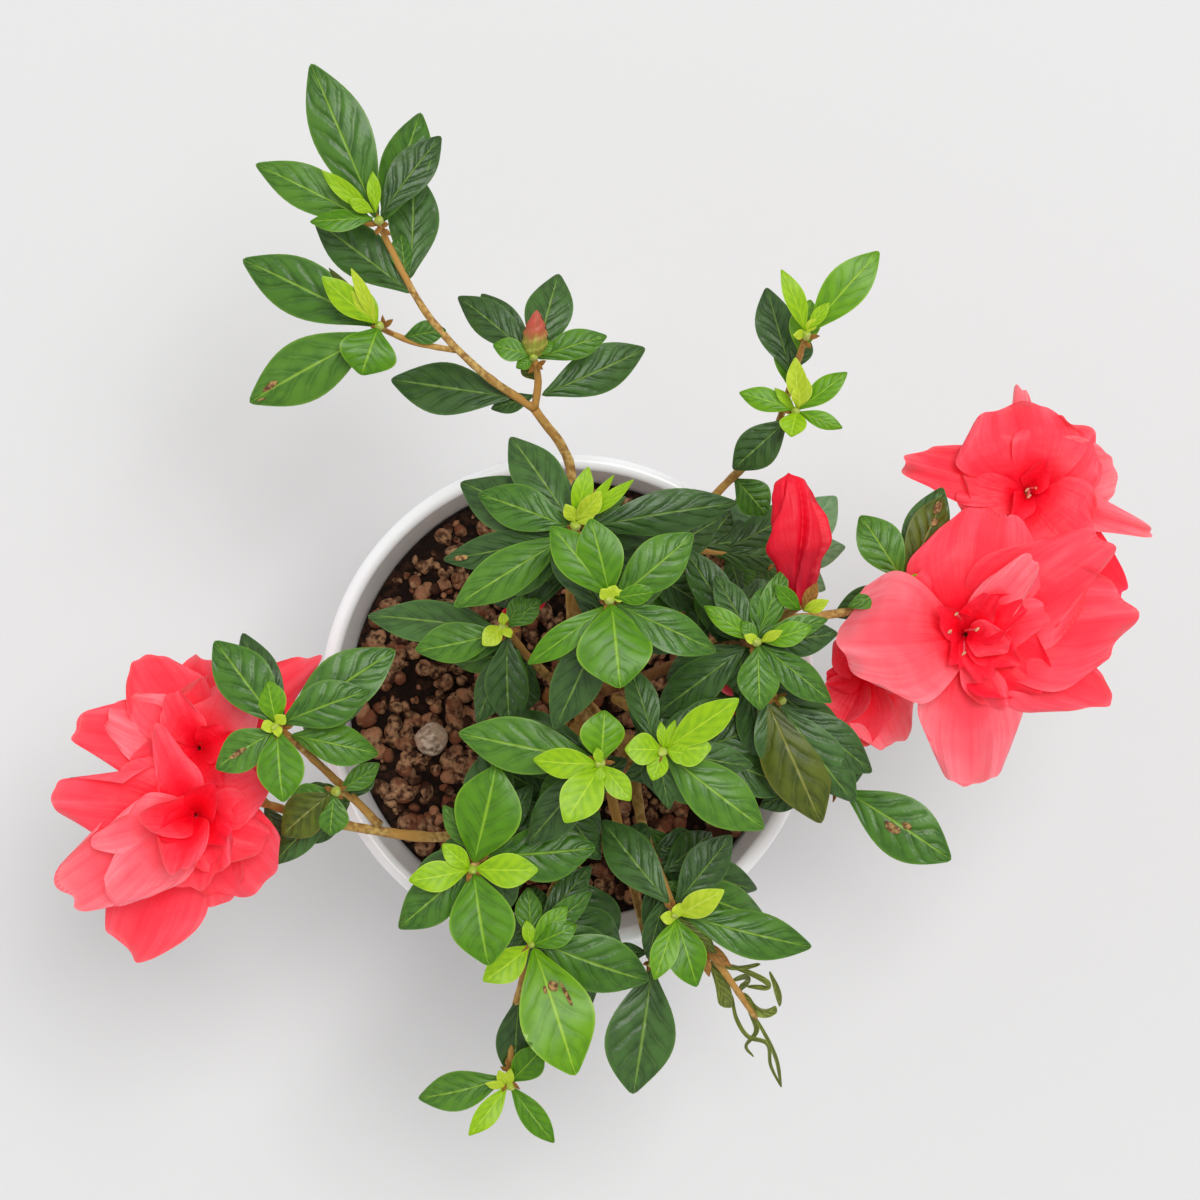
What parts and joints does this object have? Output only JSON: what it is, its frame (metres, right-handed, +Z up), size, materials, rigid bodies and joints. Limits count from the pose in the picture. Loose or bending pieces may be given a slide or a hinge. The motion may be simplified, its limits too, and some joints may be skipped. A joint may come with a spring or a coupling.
{
  "type": "potted azalea shrub",
  "caption": "Young azalea in a round tapered pot, with open whorls of leaves, ruffled double blooms and a closed bud on spreading stems.",
  "frame": {"origin": "centre of the pot's flat underside, on the surface that it stands on", "axes": "+Z up; the plant's long northwest shoot points between +Y (north) and -X (west), and the large pair of blooms between +X and +Y"},
  "size_m": [0.3103, 0.3094, 0.244],
  "materials": {
    "pot": "satin white glaze",
    "soil": "rough, dark bark and peat mix",
    "bark": "smooth tan young bark",
    "leaves": "leathery, half gloss",
    "young_leaves": "soft, half gloss",
    "petals": "thin, satin"
  },
  "bodies": {
    "root": {"bloom_east_lower": "petals", "bloom_east_third": "petals", "bloom_east_upper": "petals", "bloom_west_lower": "petals", "bloom_west_upper": "petals", "bough_bud": "bark", "bough_centre": "bark", "bough_east": "bark", "bough_east_bloom": "bark", "bough_east_upper": "bark", "bough_low_south": "bark", "bough_low_southeast": "bark", "bough_north": "bark", "bough_north_bud": "bark", "bough_north_centre": "bark", "bough_northeast": "bark", "bough_northeast_side": "bark", "bough_northwest": "bark", "bough_northwest_side": "bark", "bough_south": "bark", "bough_south_centre": "bark", "bough_southeast": "bark", "bough_southeast_centre": "bark", "bough_southeast_outer": "bark", "bough_southwest": "bark", "bough_west": "bark", "bough_west_centre": "bark", "bough_west_rosette": "bark", "bough_west_upper": "bark", "flower_bud_east": "petals", "foliage_centre": "leaves", "foliage_east": "leaves", "foliage_east_centre": "leaves", "foliage_east_hanging": "leaves", "foliage_inner_east": "leaves", "foliage_inner_north": "leaves", "foliage_inner_south": "leaves", "foliage_low_northeast": "leaves", "foliage_low_south": "leaves", "foliage_low_southeast": "leaves", "foliage_north": "leaves", "foliage_north_centre": "leaves", "foliage_northeast_side": "young_leaves", "foliage_northeast_tip": "young_leaves", "foliage_northwest_side": "leaves", "foliage_northwest_tip": "leaves", "foliage_south": "leaves", "foliage_south_centre": "young_leaves", "foliage_southeast": "leaves", "foliage_southeast_centre": "young_leaves", "foliage_southeast_outer": "leaves", "foliage_southwest": "young_leaves", "foliage_west": "leaves", "foliage_west_centre": "leaves", "foliage_west_low": "leaves", "pot": "pot", "shoot_shrivelled": "bark", "soil": "soil", "trunk": "bark"}
  },
  "joints": []
}
